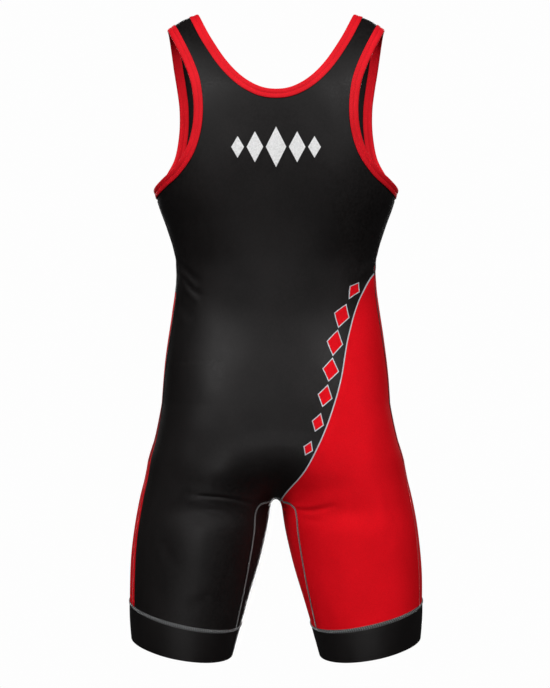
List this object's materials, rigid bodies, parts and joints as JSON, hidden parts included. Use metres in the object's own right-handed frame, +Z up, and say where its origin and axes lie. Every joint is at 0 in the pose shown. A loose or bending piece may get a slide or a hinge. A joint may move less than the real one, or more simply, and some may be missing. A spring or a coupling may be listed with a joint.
{
  "type": "powerlifting singlet",
  "caption": "Sleeveless stretch-knit powerlifting singlet with a deep scoop neck, wide armholes, short legs with wide leg bands and contrast red bindings, standing open as if worn.",
  "frame": {"origin": "midway between the two shoulder straps, at the height where they bear on the wearer's shoulders", "axes": "+Z up along the garment, -Y to its front, +X to the wearer's left"},
  "size_m": [0.4026, 0.2405, 0.883],
  "materials": {
    "knit_black": "matte",
    "binding_red": "matte"
  },
  "bodies": {
    "root": {"back_panel": "knit_black", "front_panel": "knit_black", "neck_binding": "binding_red", "armhole_binding_left": "binding_red", "armhole_binding_right": "binding_red", "leg_cuff_left": "knit_black", "leg_cuff_right": "knit_black"}
  },
  "joints": []
}
